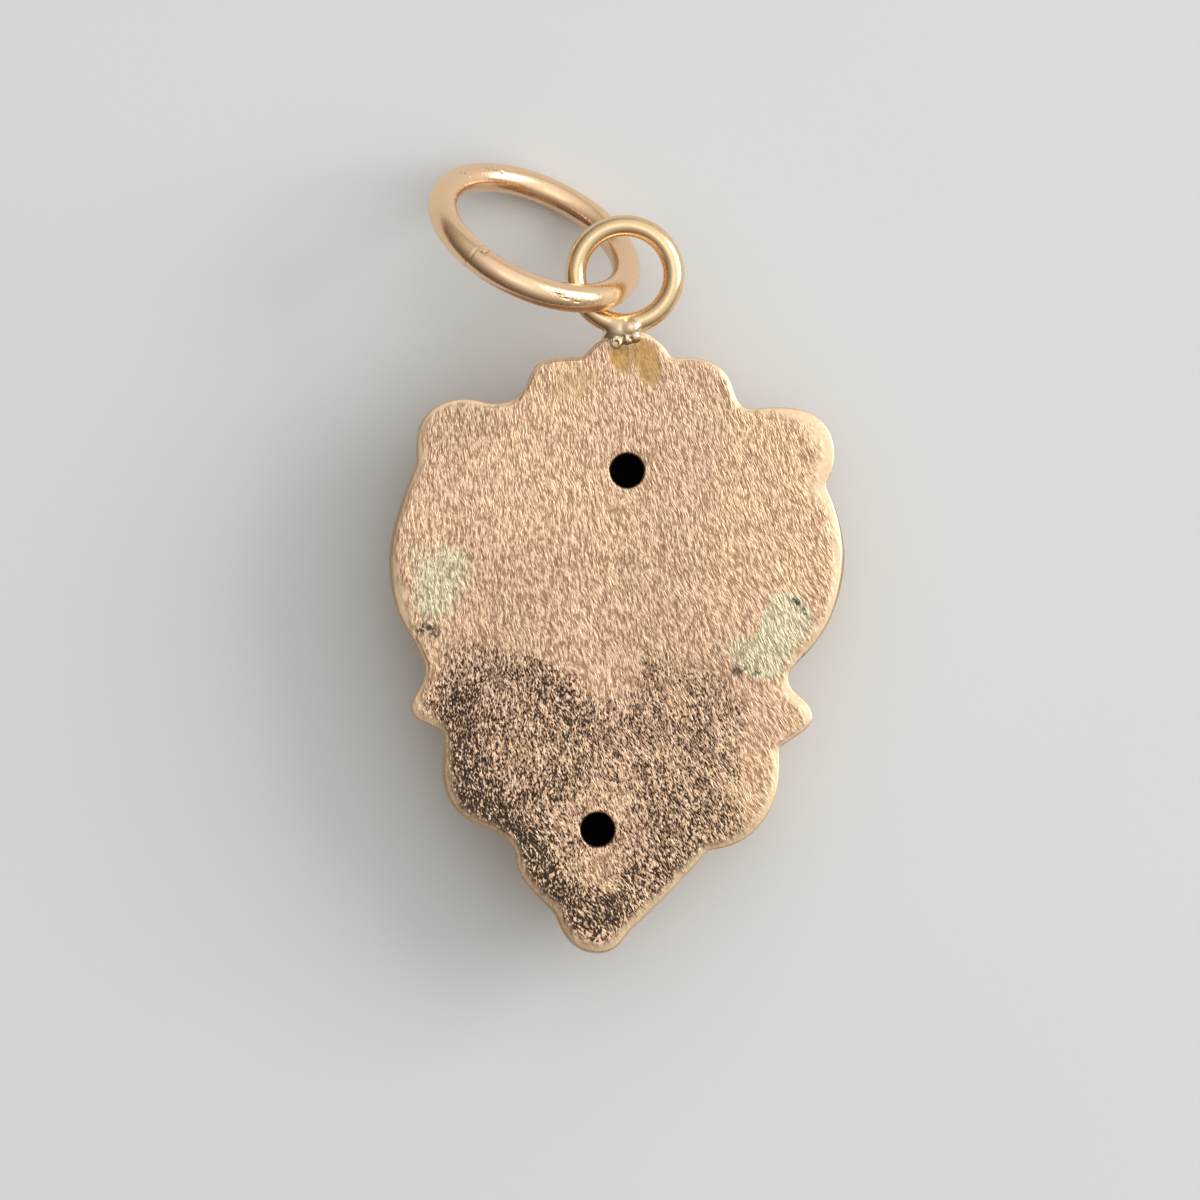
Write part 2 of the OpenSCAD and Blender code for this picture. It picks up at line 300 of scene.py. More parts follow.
def dome(t):
    """Height of the smooth dome under the relief, from the side at t = 1 to the middle at 0."""
    side_h, dome_h = 0.50, 1.75
    return side_h + dome_h * np.sqrt(np.maximum(0, 1 - t**5))


def relief(x, y, t, direction):
    """Height of the front over the plate, which levels off softly at the shell's full depth."""
    q = oval(np.abs(x), y, EAR)
    q_cup = oval(np.abs(x), y, EAR_CUP)
    h = dome(t) + mane(x, y, t, direction) * (1 - smooth(1.15, 0.85, q)) + mounds(x, y, FEATURES)
    ear_h, cup_depth, soft = 0.95, 1.05, 0.10
    h += ear_h * smooth(1.10, 0.60, q) * np.minimum(1, (1 - t) / 0.05)
    h -= cup_depth * smooth(1.10, 0.10, q_cup)
    return RELIEF_H - soft * np.log1p(np.exp((RELIEF_H - h) / soft))


def hollow(x, y, t):
    """Height of the shell's inner side, a wall's thickness within the mean of the front."""
    mean_drop = 0.15
    return dome(t) - mean_drop - SHELL_T + mounds(x, y, HOLLOW_FEATURES)


def with_z(xy, z):
    """Points at one height, or each at its own."""
    return np.column_stack([xy, np.broadcast_to(z, len(xy))])


# The shell's side under the plate: share of the plate's inset, extra inset, z
SIDE_ROWS = (
    (1.0, 0.16, RELIEF_H + SOLDERED), (0.9, 0.0, RELIEF_H), (0.5, 0.0, RELIEF_H - 0.05),
    (0.15, 0.0, RELIEF_H - 0.15), (0.0, 0.0, RELIEF_H - 0.29), (0.0, 0.0, RELIEF_H - 0.41),
)
FRONT_ROWS = 128
HOLLOW_ROWS = 12
# Share of the way to the outline at which the hollow starts
HOLLOW_REACH = 0.9


def front_shell():
    inset = by_direction(PLATE_INSET, spoke_direction)
    rows = [with_z(inset_loop(inset * share + extra), z) for share, extra, z in SIDE_ROWS]
    for j in range(FRONT_ROWS):
        t = 1 - (j / FRONT_ROWS) ** 1.25
        xy = CENTRE + (silhouette - CENTRE) * t
        full_t = np.full(SPOKES, t)
        rows.append(with_z(xy, RELIEF_H - relief(xy[:, 0], xy[:, 1], full_t, spoke_direction)))
    outer_rows = len(rows)
    inner_rows = [with_z(CENTRE + (silhouette - CENTRE) * HOLLOW_REACH, RELIEF_H + SOLDERED)]
    for j in range(HOLLOW_ROWS):
        t = HOLLOW_REACH * (1 - j / HOLLOW_ROWS)
        xy = CENTRE + (silhouette - CENTRE) * t
        inner_rows.append(with_z(xy, RELIEF_H - np.maximum(0, hollow(xy[:, 0], xy[:, 1], t))))
    middle = np.array([CENTRE[0]]), np.array([CENTRE[1]])
    face_z = RELIEF_H - relief(*middle, np.zeros(1), np.zeros(1))[0]
    hollow_z = RELIEF_H - hollow(*middle, 0.0)[0]
    points = np.vstack(rows + inner_rows + [[[*CENTRE, face_z], [*CENTRE, hollow_z]]])
    n = SPOKES
    faces = rows_to_faces(outer_rows, n) + rows_to_faces(len(inner_rows), n, outer_rows * n)
    last_outer = (outer_rows - 1) * n
    last_inner = (outer_rows + len(inner_rows) - 1) * n
    tips = len(points) - 2, len(points) - 1
    for i in range(n):
        j = (i + 1) % n
        faces.append((i, outer_rows * n + i, outer_rows * n + j, j))
        faces.append((last_outer + i, last_outer + j, tips[0]))
        faces.append((last_inner + i, last_inner + j, tips[1]))
    # The shell's inner side, which its material paints near black as painted shade
    inside = np.zeros(len(points))
    inside[outer_rows * n:last_inner + n] = 1
    inside[-1] = 1
    # The hollows of the relief, where polish doesn't reach
    height = RELIEF_H - points[:, 2]
    r = np.hypot(*(points[:, :2] - CENTRE).T)
    t = r / reach_at(direction_of(points[:, :2]), silhouette)
    recess = smooth(0.75, -0.05, height - dome(np.clip(t, 0, 1)))
    return new_mesh("front_shell", points, faces, {"inside": inside, "recess": recess * (1 - inside)})


# Back plate with its brushed strokes, burnished rim and vent holes


class Raster:
    """Heights on a fine, even raster over the plate, which strokes are laid on."""

    step = 0.03
    low = np.array([-8.4, -11.6])
    high = np.array([8.4, 11.3])

    def __init__(self):
        self.size = tuple(int(side / self.step) + 1 for side in self.high - self.low)
        self.values = np.zeros(self.size)

    def stroke(self, x, y, lean, half_length, half_width, rise):
        """Add one stroke, round across and flat along, to the cells near it."""
        pad = int((half_length + 2 * half_width) / self.step) + 1
        i, j = int((x - self.low[0]) / self.step), int((y - self.low[1]) / self.step)
        i0, i1 = max(0, i - pad), min(self.size[0], i + pad + 1)
        j0, j1 = max(0, j - pad), min(self.size[1], j + pad + 1)
        if i0 >= i1 or j0 >= j1:
            return
        dx = self.low[0] + np.arange(i0, i1)[:, None] * self.step - x
        dy = self.low[1] + np.arange(j0, j1)[None, :] * self.step - y
        c, s = math.cos(lean), math.sin(lean)
        across, along = dx * c + dy * s, dy * c - dx * s
        shape = np.exp(-((across / half_width) ** 2) - (along / half_length) ** 4)
        self.values[i0:i1, j0:j1] += rise * shape

    def at(self, xy):
        """Heights at some points, between those of the raster's four nearest corners."""
        f = (xy - self.low) / self.step
        i = np.clip(f.astype(int), 0, np.array(self.size) - 2)
        f = f - i
        v, a, b = self.values, i[:, 0], i[:, 1]
        low = v[a, b] * (1 - f[:, 0]) + v[a + 1, b] * f[:, 0]
        high = v[a, b + 1] * (1 - f[:, 0]) + v[a + 1, b + 1] * f[:, 0]
        return low * (1 - f[:, 1]) + high * f[:, 1]


STROKES = 14000
STROKE_H = 0.0055
# The strokes' slope to the left of upright: in the middle, and what each millimetre to the right adds
LEAN = 0.16
LEAN_GROWTH = 0.032


def brushed_raster():
    """Raised and sunk strokes, of random place, lean and size."""
    raster = Raster()
    for _ in range(STROKES):
        x, y = RNG.uniform(-8.2, 8.3), RNG.uniform(-11.2, 11.0)
        lean = math.atan(LEAN + LEAN_GROWTH * x) + RNG.normal(0, 0.12)
        half_length, half_width = RNG.uniform(0.10, 0.26), RNG.uniform(0.036, 0.055)
        raster.stroke(x, y, lean, half_length, half_width, RNG.choice([-1, 1]))
    return raster


# Where solder swells the plate below the fixed ring: x, y, half width, half height, turn in degrees
SOLDER_FOOT = (0.04, 10.95, 0.66, 0.62, 0)
SOLDER_FOOT_H = 0.04
# Soft dents and swellings of the plate: x, y, radius, rise
WAVES = (
    (-4.6, 5.2, 2.2, 0.035), (3.6, 6.6, 2.4, -0.030), (5.6, 2.2, 2.0, 0.030), (-5.4, 0.2, 1.9, -0.035),
    (0.4, 1.6, 2.6, -0.025), (-2.6, -3.4, 2.3, 0.030), (3.2, -3.6, 2.2, -0.030), (0.2, -8.6, 1.7, 0.025),
    (-1.4, 7.8, 1.8, 0.020),
)


def plate_z(xy, raster, stroke_share):
    """Height of the plate's surface, where its strokes have a share of their full height."""
    x, y = xy[:, 0], xy[:, 1]
    z = np.full(len(xy), PLATE_TOP)
    for wx, wy, radius, rise in WAVES:
        z += rise * np.exp(-((x - wx) ** 2 + (y - wy) ** 2) / radius**2)
    z += SOLDER_FOOT_H * smooth(1.6, 0.95, np.sqrt(oval(x, y, SOLDER_FOOT)))
    filled_by_solder = 0.9 * stain_and_shade(xy, SOLDER, 0.0)
    return z + STROKE_H * raster.at(xy) * stroke_share * (1 - filled_by_solder)


# Profile of the plate's rim, from its outer edge inwards: share of its width, millimetres, how much lower.
# It slopes off softly and ends in a narrow bevel.
RIM_ROWS = (
    (0, 0, 0.045), (0, 0.006, 0.030), (0, 0.030, 0.014), (0, 0.060, 0.004), (0.10, 0.075, 0),
    (0.24, 0.070, 0), (0.40, 0.060, 0), (0.56, 0.045, 0), (0.72, 0.030, 0), (0.87, 0.015, 0), (1.0, 0, 0),
)
# How far the rim drops to its outer edge, for each millimetre of its width
RIM_SLOPE = 0.13
# Profile of a vent's rounded lip, from outside inwards: radius, how much lower
VENT_LIP = ((0.68, 0.0), (0.655, 0.006), (0.632, 0.022), (0.610, 0.050), (0.594, 0.10))
VENT_R = 0.590
VENT_POINTS = 96
# The grid that fills the plate's middle, whose cells are narrow, as the strokes are
CELL_X, CELL_Y = 0.052, 0.078
GRID_X, GRID_Y = np.arange(-8.2, 8.3, CELL_X), np.arange(-11.2, 11.1, CELL_Y)


def plate_edge():
    """How far the plate's edge is set in, and how wide its rim is, along each spoke."""
    inset = by_direction(PLATE_INSET, spoke_direction)
    width = by_direction(RIM_WIDTH, spoke_direction) * (1 + 0.05 * np.sin(spoke_direction * 0.9))
    # The rough, nibbled edge on the right
    nibble = 0.05 * smooth(3.5, 0.5, np.abs((spoke_direction + 180) % 360 - 180 + 2.2))
    inset = inset + nibble * (0.5 + 0.5 * np.sin(spoke_direction * 11) * np.sin(spoke_direction * 4.3))
    return inset, width


def inside_loop(points, loop, margin=0.0):
    """Whether points stand inside a loop round the middle, with a margin along the spoke."""
    return np.hypot(*(points - CENTRE).T) < reach_at(direction_of(points), loop) - margin


def vent_loop(middle, radius):
    """A loop about the middle of a vent that is slightly uneven, as a punched hole is."""
    a = np.arange(VENT_POINTS) * 2 * np.pi / VENT_POINTS
    uneven = np.sin(3 * a + middle[1]) + 0.7 * np.sin(7 * a) + 0.5 * np.sin(17 * a)
    r = radius * (1 + 0.004 * uneven)
    return np.array(middle) + np.column_stack([r * np.cos(a), r * np.sin(a)])


def triangulated(loops, extra_points, extra_edges, keep):
    """Triangles between an outer loop, convex holes and extra edges, as indices into all points in order.

    The function keep says which triangles, by their middles, are wanted.
    """
    points = np.vstack(loops + ([extra_points] if len(extra_points) else []))
    hole = np.repeat(np.arange(len(loops)), [len(loop) for loop in loops])
    hole = np.r_[hole, np.zeros(len(extra_points), dtype=int)]
    edges = []
    start = 0
    for loop in loops:
        n = len(loop)
        edges += [(start + i, start + (i + 1) % n) for i in range(n)]
        start += n
    edges += [(start + a, start + b) for a, b in extra_edges]
    made = delaunay_2d_cdt([Vector(p) for p in points.tolist()], edges, [], 0, 1e-6)
    back = [source[0] if source else -1 for source in made[3]]
    faces = [tuple(back[i] for i in f) for f in made[2]]
    faces = [f for f in faces if -1 not in f]
    corners = np.array(faces)
    # A face with all its corners on one hole's loop lies in that hole
    in_hole = (hole[corners] > 0).all(1) & (hole[corners] == hole[corners[:, :1]]).all(1)
    good = keep(points[corners].mean(1)) & ~in_hole
    return [f for f, kept in zip(faces, good) if kept]


def plate_cells(rim_loop, start):
    """Points, used cells and faces of the plate's grid, whose first point gets the index start.

    It stays a little apart from the rim and the vents.
    """
    off_rim, off_vent = 0.09, 0.05
    grid = np.stack(np.meshgrid(GRID_X, GRID_Y, indexing="ij"), -1)
    flat = grid.reshape(-1, 2)
    good = inside_loop(flat, rim_loop, off_rim)
    for vent in VENTS:
        good &= np.hypot(*(flat - vent).T) > VENT_LIP[0][0] + off_vent
    good = good.reshape(grid.shape[:2])
    cell = good[:-1, :-1] & good[1:, :-1] & good[1:, 1:] & good[:-1, 1:]
    used = np.zeros_like(good)
    for di in (0, 1):
        for dj in (0, 1):
            used[di:di + cell.shape[0], dj:dj + cell.shape[1]] |= cell
    index = np.full(good.shape, -1)
    index[used] = start + np.arange(used.sum())
    ci, cj = np.nonzero(cell)
    corners = (index[ci, cj], index[ci + 1, cj], index[ci + 1, cj + 1], index[ci, cj + 1])
    return grid[used], cell, list(zip(*(c.tolist() for c in corners)))


def border_edges(faces):
    """Edges that only one of some four-sided faces has."""
    sides = {}
    for a, b, c, d in faces:
        for e in ((a, b), (b, c), (c, d), (d, a)):
            key = min(e), max(e)
            sides[key] = sides.get(key, 0) + 1
    return [e for e, times in sides.items() if times == 1]


def back_plate():
    raster = brushed_raster()
    inset, width = plate_edge()
    points, faces = [], []

    # The plate's side, with a slight bevel below, and its rim
    side_loop = inset_loop(inset)
    low_loop = inset_loop(inset + 0.02)
    rows = [with_z(low_loop, RELIEF_H), with_z(side_loop, RELIEF_H + 0.03)]
    for share, extra, lower in RIM_ROWS:
        xy = inset_loop(inset + width * share + extra)
        drop = RIM_SLOPE * width * (1 - share) ** 2 + lower
        rows.append(with_z(xy, plate_z(xy, raster, smooth(0.15, 1.0, share)) - drop))
    points.append(np.vstack(rows))
    faces += rows_to_faces(len(rows), SPOKES)
    rim_start = (len(rows) - 1) * SPOKES
    rim_loop = xy
    total = len(rows) * SPOKES

    vent_tops, vent_lows = [], []
    for vent in VENTS:
        rows = []
        for radius, lower in VENT_LIP:
            xy = vent_loop(vent, radius)
            rows.append(with_z(xy, plate_z(xy, raster, 0.5) - lower))
        rows.append(with_z(vent_loop(vent, VENT_R), RELIEF_H))
        points.append(np.vstack(rows))
        faces += rows_to_faces(len(rows), VENT_POINTS, total)
        vent_tops.append(total)
        vent_lows.append(total + (len(rows) - 1) * VENT_POINTS)
        total += len(rows) * VENT_POINTS

    # Cells fill the middle, and triangles join their stepped border to the rim and the vents
    grid_xy, cell, cell_faces = plate_cells(rim_loop, total)
    points.append(with_z(grid_xy, plate_z(grid_xy, raster, 1.0)))
    faces += cell_faces
    border = border_edges(cell_faces)
    ids = sorted({i for e in border for i in e})
    local = {g: k for k, g in enumerate(ids)}
    border_xy = grid_xy[np.array(ids) - total]

    def between(mids):
        i = ((mids[:, 0] - GRID_X[0]) / CELL_X).astype(int)
        j = ((mids[:, 1] - GRID_Y[0]) / CELL_Y).astype(int)
        in_cell = cell[np.clip(i, 0, cell.shape[0] - 1), np.clip(j, 0, cell.shape[1] - 1)]
        return inside_loop(mids, rim_loop) & ~in_cell

    loops = [rim_loop] + [vent_loop(vent, VENT_LIP[0][0]) for vent in VENTS]
    lookup = list(range(rim_start, rim_start + SPOKES))
    for top in vent_tops:
        lookup += list(range(top, top + VENT_POINTS))
    lookup += ids
    band = triangulated(loops, border_xy, [(local[a], local[b]) for a, b in border], between)
    faces += [tuple(lookup[i] for i in f) for f in band]

    # The underside is of triangles too
    def below(mids):
        return inside_loop(mids, low_loop)

    loops = [low_loop] + [vent_loop(vent, VENT_R) for vent in VENTS]
    lookup = list(range(SPOKES))
    for low in vent_lows:
        lookup += list(range(low, low + VENT_POINTS))
    faces += [tuple(lookup[i] for i in f) for f in triangulated(loops, [], [], below)]

    points = np.vstack(points)
    xy = points[:, :2]
    depth = edge_distance(xy, side_loop)
    full_width = by_direction(RIM_WIDTH, direction_of(xy))
    ragged = 0.16 * raster.at(xy)
    rim = smooth(1.35, 0.35, depth / full_width + ragged)
    # The walls at the edge and in the vents are as smooth as the rim
    rim = np.maximum(rim, smooth(0.08, 0.14, PLATE_TOP - points[:, 2]))
    return new_mesh("back_plate", points, faces, {"rim": rim, **stains_and_shade(xy, raster)})


# Stains of the plate: x, y, half width, half height, turn in degrees, softness of the edge, strength
TARNISH = (
    (-0.3, -6.2, 5.2, 5.0, 0, 0.25, 0.34), (2.7, -3.4, 2.2, 2.7, 0, 0.5, 0.08),
    (-3.0, -3.35, 2.66, 2.66, 0, 0.12, 0.34), (-5.3, -4.0, 1.3, 2.6, 0, 0.9, 0.55),
    (-4.0, -6.4, 1.4, 0.9, -30, 0.8, 0.72), (-2.6, -8.1, 0.9, 1.9, 38, 0.7, 0.74),
    (-0.6, -9.6, 1.7, 0.9, -10, 0.7, 0.50), (1.4, -8.6, 1.4, 0.9, 40, 0.8, 0.25),
    (2.9, -6.6, 1.6, 1.8, 0, 0.8, 0.18), (-2.5, -7.0, 0.7, 0.9, 38, 0.9, 0.50),
    (3.8, -2.6, 1.0, 1.3, 0, 1.0, 0.25), (-4.9, -1.1, 1.3, 0.9, 0, 1.0, 0.15),
    (1.6, -0.85, 1.9, 0.70, 0, 1.0, 0.13), (-3.6, -0.95, 1.6, 0.60, 0, 1.0, 0.15),
)
# Where the tarnish is thinner or gone
CLEAN = (
    (5.75, -4.3, 0.95, 2.6, 0, 0.4, 1.0), (-0.1, -1.2, 1.2, 1.0, 0, 0.9, 0.80),
    (0.3, -5.3, 0.9, 1.0, 0, 1.0, 0.40), (-0.9, -6.4, 0.8, 1.0, 0, 0.9, 0.25),
    (0.9, -6.6, 0.7, 1.1, 0, 0.9, 0.30), (0.0, -8.0, 0.75, 0.8, 0, 0.9, 0.60),
    (0.0, -10.75, 1.2, 0.45, 12, 0.8, 0.45), (-2.9, -3.8, 1.7, 1.6, 0, 1.2, 0.30),
)
# Broad darker areas, partly a duller film and partly painted shade where the plate's soft dents turn from the
# light
DULL_AND_SHADED = (
    (1.7, 4.0, 1.8, 5.2, 0, 0.9, 0.60), (-4.6, 0.6, 2.6, 2.6, 0, 1.0, 0.60),
    (-0.6, 0.6, 3.6, 2.2, 0, 1.0, 0.45), (2.4, -0.6, 2.0, 1.2, 0, 1.0, 0.50),
    (3.2, 8.2, 0.9, 1.6, 0, 0.9, 0.60), (-5.5, 7.5, 1.5, 1.2, 10, 0.8, 0.95),
    (-3.0, 9.0, 0.9, 0.8, 0, 0.8, 0.50), (0.8, 7.8, 1.3, 1.4, 0, 1.0, 0.30),
    (3.7, -1.0, 1.3, 0.9, 0, 0.9, 0.75),
)
GREEN = (
    (-6.15, 1.45, 0.80, 1.05, 0, 0.8, 0.80), (-5.55, 2.4, 0.60, 0.80, 20, 0.8, 0.70),
    (-6.6, 2.7, 0.8, 0.5, 0, 1.0, 0.35), (6.1, 0.75, 0.92, 1.15, -20, 0.35, 0.85),
    (5.2, -0.45, 0.92, 0.70, -20, 0.5, 0.80), (4.3, -0.2, 0.6, 0.5, 0, 0.8, 0.35),
    (5.8, 0.1, 0.9, 0.8, 0, 0.8, 0.50),
)
# Solder that ran onto the plate
SOLDER = (
    (-0.05, 9.85, 0.36, 0.50, 25, 0.6, 1.0), (0.95, 9.65, 0.40, 0.76, 12, 0.7, 0.90),
    (0.45, 10.20, 0.75, 0.36, 0, 0.8, 0.70), (-1.58, 8.95, 0.75, 0.5, 20, 1.1, 0.35),
)
# Dark specks at the edges of the green
SPECKS = (
    (-6.42, 0.15, 0.36, 0.16, 10, 0.5, 1.0), (-6.18, 0.02, 0.22, 0.20, 0, 0.5, 0.9),
    (6.46, 1.60, 0.20, 0.08, -30, 0.5, 1.0), (6.76, 1.27, 0.07, 0.20, 20, 0.6, 0.9),
    (4.55, -0.90, 0.30, 0.17, 15, 0.6, 0.9), (5.18, -0.95, 0.20, 0.07, 20, 0.5, 0.8),
)
# Redder gold
WARM = (
    (-7.25, 1.3, 0.50, 0.85, 0, 0.6, 0.80), (7.45, 1.5, 0.42, 1.0, 20, 0.8, 0.70),
    (2.0, -0.6, 3.5, 2.2, 0, 1.0, 0.40), (-3.6, 0.8, 2.6, 2.0, 0, 1.0, 0.25),
)


def stain_and_shade(xy, table, ragged):
    """How much of a table's stains and painted shade there is at some points, from 0 to 1, with a ragged
    edge.
    """
    left = np.ones(len(xy))
    for row in table:
        soft, strength = row[5:]
        q = np.sqrt(oval(xy[:, 0], xy[:, 1], row)) + ragged
        left *= 1 - strength * smooth(1 + soft / 2, 1 - soft / 2, q)
    return 1 - left


def stains_and_shade(xy, raster):
    """All stains, and the painted shade of the broad darker areas, at some points, ragged with the strokes
    and with soft waves.
    """
    x, y = xy[:, 0], xy[:, 1]
    waves = np.sin(2.1 * x + 1.3 * y) * np.sin(1.7 * y - 0.9 * x + 1)
    ragged = 0.05 * raster.at(xy) + 0.08 * waves
    return {
        "tarnish": stain_and_shade(xy, TARNISH, ragged) * (1 - stain_and_shade(xy, CLEAN, ragged)),
        "dull_and_shaded": stain_and_shade(xy, DULL_AND_SHADED, ragged),
        "green": stain_and_shade(xy, GREEN, 1.5 * ragged),
        "solder": stain_and_shade(xy, SOLDER, ragged),
        "speck": stain_and_shade(xy, SPECKS, 2.5 * ragged),
        "warm": stain_and_shade(xy, WARM, ragged),
    }


# Fixed ring with its solder neck


def smooth_min(a, b, width):
    """The lesser of two distances, with a fillet of some width where they meet."""
    h = np.clip(0.5 + 0.5 * (b - a) / width, 0, 1)
    return b * (1 - h) + a * h - width * h * (1 - h)


# Solder that joins the fixed ring to the plate, from the ring's middle: x, y, z, radii
NECK = (
    (0.04, -1.92, 0.00, 0.68, 0.43, 0.45), (0.04, -2.24, 0.00, 0.74, 0.28, 0.32),
    (0.30, -1.84, 0.14, 0.32, 0.28, 0.36),
)
# Bubbles and pits in it: x, y, z, radius
BUBBLES = ((-0.20, -2.41, 0.27, 0.21), (0.17, -2.25, 0.24, 0.20), (0.45, -2.16, 0.22, 0.21))
NECK_PITS = (
    (-0.20, -2.42, 0.51, 0.15), (0.02, -2.20, 0.47, 0.09),
    (0.31, -2.24, 0.44, 0.07), (-0.22, -2.08, 0.50, 0.06),
)


def ring_field(p):
    """Signed distance, near enough, to the fixed ring with its neck."""
    def from_point(x, y, z):
        return np.sqrt((p[..., 0] - x) ** 2 + (p[..., 1] - y) ** 2 + (p[..., 2] - z) ** 2)

    # 2 makes a rounded body an ellipsoid, and more makes it fuller
    fullness = 2.4
    d = np.hypot(np.hypot(p[..., 0], p[..., 1]) - FIXED_R, p[..., 2]) - FIXED_WIRE / 2
    for x, y, z, rx, ry, rz in NECK:
        axes = np.abs((p[..., 0] - x) / rx), np.abs((p[..., 1] - y) / ry), np.abs((p[..., 2] - z) / rz)
        q = sum(a**fullness for a in axes) ** (1 / fullness)
        d = smooth_min(d, (q - 1) * min(rx, ry, rz), 0.10)
    for x, y, z, r in BUBBLES:
        d = smooth_min(d, from_point(x, y, z) - r, 0.09)
    for x, y, z, r in NECK_PITS:
        d = -smooth_min(-d, from_point(x, y, z) - r, 0.03)
    return d


FIXED_STEPS, FIXED_WIRE_STEPS = 600, 128
# Distances from the middle of the wire between which the surface of the ring and its neck lies
SEARCH_FROM, SEARCH_TO = 1.15, 0.30
SEARCH_STEPS = 60
HALVINGS = 18


def fixed_ring():
    # The steps round the ring are finer at the solder, at -90 degrees
    turns = np.linspace(-180, 180, FIXED_STEPS)
    pace = np.interp(turns, (-180, -35, -20, 20, 35, 180), (1, 1, 0.3, 0.3, 1, 1))
    thetas = np.cumsum(np.r_[0, pace])
    thetas = np.radians(-90 - 180 + 360 * thetas[:-1] / thetas[-1])
    phis = np.arange(FIXED_WIRE_STEPS) * 2 * np.pi / FIXED_WIRE_STEPS
    out = np.stack([np.cos(thetas), np.sin(thetas), np.zeros_like(thetas)], -1)[:, None, :]
    way = out * np.cos(phis)[None, :, None] + np.array([0, 0, 1]) * np.sin(phis)[None, :, None]
    # From outside inwards to the first place inside, and then halving
    far = np.full(way.shape[:2], SEARCH_TO)
    near = far.copy()
    for s in np.linspace(SEARCH_FROM, SEARCH_TO, SEARCH_STEPS):
        inside = ring_field(out * FIXED_R + way * s) < 0
        fresh = inside & (near <= SEARCH_TO)
        near[fresh] = s
        far[fresh] = s + (SEARCH_FROM - SEARCH_TO) / (SEARCH_STEPS - 1)
    for _ in range(HALVINGS):
        mid = (near + far) / 2
        inside = ring_field(out * FIXED_R + way * mid[..., None]) < 0
        near = np.where(inside, mid, near)
        far = np.where(inside, far, mid)
    points = (out * FIXED_R + way * near[..., None] + FIXED_CENTRE).reshape(-1, 3)
    local = points - FIXED_CENTRE
    solder = smooth(1.15, 0.75, np.sqrt(oval(local[:, 0], local[:, 1], (0, -2.10, 0.75, 0.6, 0))))
    return new_mesh("fixed_ring", points, wrapped_faces(len(thetas), len(phis)), {"solder": solder})


def wrapped_faces(rows, columns):
    """Four-sided faces of a closed tube."""
    faces = []
    for i in range(rows):
        a, b = i * columns, (i + 1) % rows * columns
        for j in range(columns):
            k = (j + 1) % columns
            faces.append((a + j, b + j, b + k, a + k))
    return faces


# Wear of the jump ring: ring angle, wire angle, half lengths along and round the wire in millimetres, rise
JUMP_MARKS = (
    (110.5, 280, 0.05, 0.13, -0.05), (112.5, 296, 0.09, 0.05, -0.03),
    (65.0, 322, 0.15, 0.030, -0.030), (60.0, 333, 0.12, 0.025, -0.030), (54.0, 340, 0.13, 0.025, -0.025),
    (200.0, 258, 0.035, 0.035, -0.03), (201.5, 235, 0.03, 0.03, -0.025), (197.0, 268, 0.03, 0.03, -0.02),
    (226.0, 250, 0.05, 0.04, -0.02), (231.0, 238, 0.06, 0.03, -0.02),
)
# Scuffed places of the jump ring: ring angle, wire angle, half lengths along and round the wire, strength
SCUFFS = (
    (64, 324, 0.36, 0.13, 1.0), (54, 332, 0.40, 0.13, 0.9),
    (44, 340, 0.30, 0.10, 0.6), (222, 248, 0.45, 0.14, 0.6),
)
# Ring angle of the seam where the wire's ends meet, and how wide it is
SEAM_ANGLE = 115.5
SEAM_WIDTH = 0.028
JUMP_STEPS, JUMP_WIRE_STEPS = 640, 112


def jump_ring():
    # The steps round the ring are finer at the seam and at the scuffs
    spread = np.linspace(0, 360, JUMP_STEPS, endpoint=False)
    pace = 1 - 0.72 * (np.exp(-(((spread - 113) / 8) ** 2)) + np.exp(-(((spread - 60) / 9) ** 2)))
    angles = np.cumsum(pace)
    angles = (angles - angles[0]) * 360 / angles[-1] * (1 - 1 / JUMP_STEPS)
    thetas, phis = np.radians(angles), np.arange(JUMP_WIRE_STEPS) * 2 * np.pi / JUMP_WIRE_STEPS
    turn, tilt = -JUMP_TURN, math.pi - JUMP_TILT
    u = np.array([math.cos(turn), math.sin(turn), 0])
    v = np.array([-math.sin(turn) * math.cos(tilt), math.cos(turn) * math.cos(tilt), math.sin(tilt)])
    n = np.cross(u, v)
    out = np.cos(thetas)[:, None, None] * u + np.sin(thetas)[:, None, None] * v
    way = np.cos(phis)[None, :, None] * out + np.sin(phis)[None, :, None] * n
    theta_deg = np.degrees(thetas)[:, None]
    phi_deg = np.degrees(phis)[None, :]

    def apart(a, b):
        return (a - b + 180) % 360 - 180

    # The wire is slightly uneven, and just thinner than the solid's so that it stays within
    rise = 0.004 * np.sin(np.radians(3 * theta_deg)) * np.cos(np.radians(2 * phi_deg)) - 0.005
    # The seam is a crooked groove with a low burr beside it
    crooked = SEAM_ANGLE + 0.5 * np.sin(np.radians(phi_deg * 2)) + 0.25 * np.sin(np.radians(phi_deg * 5))
    along = np.radians(apart(theta_deg, crooked)) * JUMP_R
    seam = np.exp(-((along / SEAM_WIDTH) ** 2))
    burr = np.exp(-(((along - 0.10) / 0.06) ** 2))
    rise = rise - 0.008 * seam + 0.004 * burr
    wear = 0.35 * seam
    scuff = np.zeros_like(rise)

    def mark_at(theta, phi, length, girth):
        a = np.radians(apart(theta_deg, theta)) * JUMP_R
        b = np.radians(apart(phi_deg, phi)) * JUMP_WIRE / 2
        return np.exp(-((a / length) ** 2) - (b / girth) ** 2)

    for theta, phi, length, girth, added in JUMP_MARKS:
        mark = mark_at(theta, phi, length, girth)
        rise = rise + added * mark
        wear = np.maximum(wear, mark)
    for theta, phi, length, girth, strength in SCUFFS:
        scuff = np.maximum(scuff, strength * mark_at(theta, phi, length, girth))
    points = JUMP_R * out + (JUMP_WIRE / 2 + rise)[..., None] * way + JUMP_CENTRE
    faces = wrapped_faces(len(thetas), len(phis))
    attributes = {"wear": wear.ravel(), "scuff": scuff.ravel()}
    return new_mesh("jump_ring_wire", points.reshape(-1, 3), faces, attributes)


# Materials


